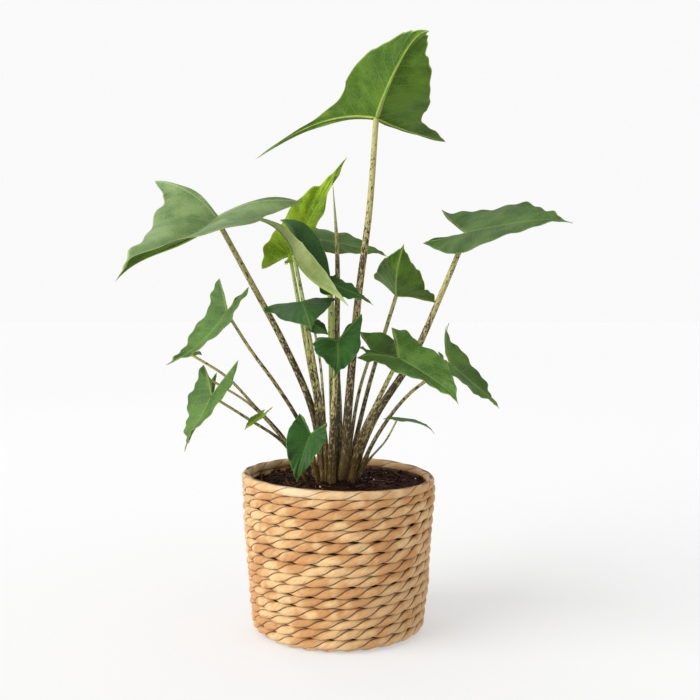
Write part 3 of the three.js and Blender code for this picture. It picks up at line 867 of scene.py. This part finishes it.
# Large leaves: the upright top one shows its ribbed underside, the two side ones hang from long stalks.
# Each blade is set on its stalk at the notch, as it grew.
leaf("top", mid_top, under_side, -78, 32, -7, [39, 0, 530], [4, -6], [9.8, 5.6],
     [[12, -4, 250], [21, -3, 348], [32, -2, 435]],
     length=139, half_widths=[50, 47], lobes=[113, 152], splay=124, folds=[12, 42], curl=4, droop=-5,
     tip_droop=45, lobe_droop=16, twist=-34, sweep=17, waists=[0.6, 0.95], points=[0.4, 0.7], ruffle=1.5,
     waves=11, spacing=15)
leaf("left", sheen_grey_top, under_side, -115, -30, -10, [-124, -13, 427], [-14, 5], [8.3, 5.2],
     [[-27, 1, 228], [-57, -4, 300], [-89, -8, 361]],
     length=135, half_widths=[62, 62], lobes=[89, 103], splay=121, folds=[34, 29], curl=47, droop=-10,
     tip_droop=46, lobe_droop=-13, twist=30, sweep=-35, waists=[0.36, 0.36], ruffle=2.0, waves=6)
leaf("right", dusky_top, under_side, -40, 9, 25, [133, 1, 413], [9, 5], [9.3, 5.2],
     [[38, 4, 220], [78, 3, 284], [105, 2, 345]],
     length=112, half_widths=[51, 51], lobes=[64, 48], splay=143, folds=[16, 6], tip_droop=15,
     lobe_droop=-48, sweep=-3, drip=9)

# Upper leaves: the bright young one, the folded pale one and the dark ones that overlap in the middle.
# The young blade is soft and lets the most light through.
leaf("bright", bright_top, under_side, 0, 60, 85, [-52, 34, 391], [-14, 14], [6.7, 3.7],
     [[-19, 18, 214], [-31, 23, 276], [-41, 28, 331]],
     length=110, half_widths=[28, 22], lobes=[36, 14], splay=146, folds=[5, 62], lobe_droop=15,
     waists=[0, 0], points=[0.5, 0.5], ruffle=2.8, waves=7, drip=12)
leaf("folded", dark_top, pale_under, -54, -49, -16, [-45, -14, 390], [-9, -3], [6.7, 3.7],
     [[-16, -6, 215], [-25, -9, 277], [-34, -12, 332]],
     length=90, half_widths=[31, 26], lobes=[52, 60], splay=145, folds=[36, 47], curl=-20, droop=-42,
     tip_droop=24, lobe_droop=75, twist=-40, sweep=5, waists=[0, 0.8], points=[0.9, 0.4], ruffle=0.5)
leaf("dark", dark_top, under_side, -22, -20, 30, [-11, -9, 362], [-4, 12], [6.7, 5.2],
     [[-6, 8, 210], [-7, 5, 266], [-8, 2, 322], [-8, 0, 342]],
     length=47, half_widths=[13, 21], lobes=[10, 10], splay=125, folds=[10, 10], curl=15, droop=5, drip=8)
leaf("back", mid_top, under_side, 22, -8, 12, [-20, 46, 407], [0, 22], [6.2, 5.2],
     [[1, 27, 220], [-3, 33, 286], [-8, 40, 343]],
     length=78, half_widths=[34, 24], lobes=[42, 28], folds=[25, -12], lobe_droop=-10)
leaf("upper", dark_top, under_side, -97, 28, -27, [62, 45, 347], [8, 20], [5.2, 4.1],
     [[21, 26, 205], [34, 33, 256], [47, 38, 299]],
     length=73, half_widths=[32, 32], lobes=[48, 52], splay=121, folds=[43, 30], curl=10, droop=-36,
     tip_droop=-5, twist=10, waists=[0, 0], points=[0.2, 0.2], rib=0.8)

# Lower leaves: smaller blades on thinner stalks, around and in front of the basket's rim.
# The youngest are barely opened, and two of them are hidden behind the leaves on the left.
leaf("left_middle", mid_top, under_side, -163, -59, -18, [-116, 0, 331], [-22, 0], [5, 3.1],
     [[-38, 0, 210], [-64, 0, 254], [-90, 0, 290]],
     length=79, half_widths=[29, 29], lobes=[42, 49], curl=5, droop=-31, tip_droop=0, lobe_droop=-13,
     twist=6, sweep=-15, waists=[0, 0], points=[0.3, 0.3])
leaf("left_low", mid_top, under_side, -134, -58, 4, [-129, -24, 246], [-31, -4], [3.7, 2.7],
     [[-57, -11, 196], [-93, -17, 222]],
     length=58, half_widths=[31, 31], lobes=[43, 41], splay=146, folds=[23, 22], curl=25, droop=1,
     tip_droop=19, twist=20, sweep=-17, waists=[0, 0])
leaf("young_left", bright_top, under_side, -142, -30, 9, [-77, -24, 227], [-29, -1], [2.5, 1.7],
     [[-44, -8, 183], [-61, -16, 206]],
     length=24, half_widths=[11, 11], lobes=[14, 14], curl=15, droop=0, twist=-18, drip=2, ruffle=0.3,
     spacing=6)
leaf("centre", dark_top, under_side, -81, -14, 11, [-36, -31, 342], [-15, -11], [4.8, 3.3],
     [[-19, -16, 202], [-24, -21, 251], [-30, -26, 295]],
     length=64, half_widths=[29, 29], lobes=[42, 45], splay=121, folds=[-3, -4], curl=15, droop=15,
     tip_droop=0, lobe_droop=-10, twist=11, waists=[0, 0], points=[0.6, 0.6], ruffle=0.6)
leaf("small", dark_top, under_side, -54, -17, 46, [-25, -24, 320], [-12, -14], [3.5, 2.3],
     [[-13, -17, 196], [-15, -19, 240], [-18, -21, 278]],
     length=23, half_widths=[9, 9], lobes=[13, 13], folds=[-7, -11], curl=46, droop=24, lobe_droop=15,
     drip=2, ruffle=0.3, spacing=6)
leaf("heart", dark_top, under_side, -86, -36, 15, [0, -60, 304], [-7, -20], [7.8, 4.1],
     [[-6, -33, 205], [-3, -46, 256]],
     length=58, half_widths=[24, 24], lobes=[39, 38], splay=129, folds=[21, 11], curl=27, droop=-15,
     tip_droop=5, lobe_droop=17, twist=-35, sweep=-7, points=[0.7, 0.7])
leaf("right_middle", mid_top, under_side, -37, -21, 17, [61, -45, 286], [12, -14], [6.7, 4.1],
     [[22, -24, 200], [41, -34, 244]],
     length=88, half_widths=[29, 29], lobes=[47, 46], splay=131, folds=[31, 22], curl=23, droop=-4,
     lobe_droop=8, sweep=-25, waists=[0, 0], points=[0.3, 0.3])
leaf("behind", mid_top, under_side, 33, -17, 69, [35, 4, 291], [8, 13], [4.7, 3.1],
     [[14, 10, 202], [22, 7, 248]],
     length=50, half_widths=[21, 21], lobes=[26, 26], splay=150, folds=[28, 39], curl=-16, droop=23,
     twist=13, sweep=22)
leaf("right_low", mid_top, under_side, 16, -42, 35, [118, 4, 276], [16, 1], [4.6, 3.3],
     [[41, 2, 202], [74, 3, 245]],
     length=68, half_widths=[27, 27], lobes=[47, 46], splay=140, folds=[8, 1], curl=-18, droop=-8,
     tip_droop=18, lobe_droop=-40, waists=[0.3, 0.3])
leaf("front", dark_top, under_side, -123, -51, -18, [-27, -60, 212], [-19, -22], [4.1, 2.7],
     [[-23, -34, 173], [-25, -47, 193]],
     length=47, half_widths=[22, 22], lobes=[21, 25], splay=133, folds=[27, 29], curl=2, droop=33,
     tip_droop=22, lobe_droop=-11)
leaf("young_right", mid_top, under_side, -11, -3, -4, [61, -20, 222], [17, -8], [2.5, 1.7],
     [[31, -12, 177], [49, -16, 199]],
     length=34, half_widths=[16, 16], lobes=[20, 19], folds=[14, 13], curl=30, droop=19, tip_droop=14,
     drip=8, ruffle=0.4, spacing=7)
leaf("young_back_high", mid_top, under_side, 75, 0, 0, [-155, 18, 285], [-31, 6], [3.7, 2.7],
     [[-57, 9, 197], [-89, 12, 232], [-117, 15, 261]],
     length=26, half_widths=[7, 7], lobes=[12, 12], folds=[40, 40], drip=2, ruffle=0.3, spacing=6)
leaf("young_back_low", mid_top, under_side, 110, -80, 0, [-133, 8, 259], [-31, 2], [3.3, 2.3],
     [[-60, 4, 199], [-93, 6, 234]],
     length=22, half_widths=[6, 6], lobes=[10, 10], folds=[40, 40], drip=2, ruffle=0.3, spacing=6)

# New leaf: a blade still rolled into a thin pale spear that stands straight up among the stalks.
# It is slightly thicker where the blade is rolled, and ends in a point.
spear_rings = 70
spear_line, where, total = smooth_line(
    [[-3, 2, soil_level], [-1, 3, 236], [-1, 3, 319], [-1, 3, 391], [-6, 4, 470]],
    lambda whole: whole * (1 - (1 - np.linspace(0, 1, spear_rings)) ** 1.3),
)
share = where / total
spear_radii = np.interp(share, [0, 0.08, 0.5, 0.62, 0.8, 1], [4.4, 3.6, 2.6, 2.9, 2.0, 0.0])
spear = rod("new_leaf", spear_line, spear_radii, sides=stalk_sides)
spear.data.materials.append(stalk_finish("spear_skin", colour(150, 144, 92), colour(140, 142, 80),
                                         colour(66, 54, 32), colour(96, 76, 44)))
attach(spear, "root")
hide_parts("new_leaf_spear")
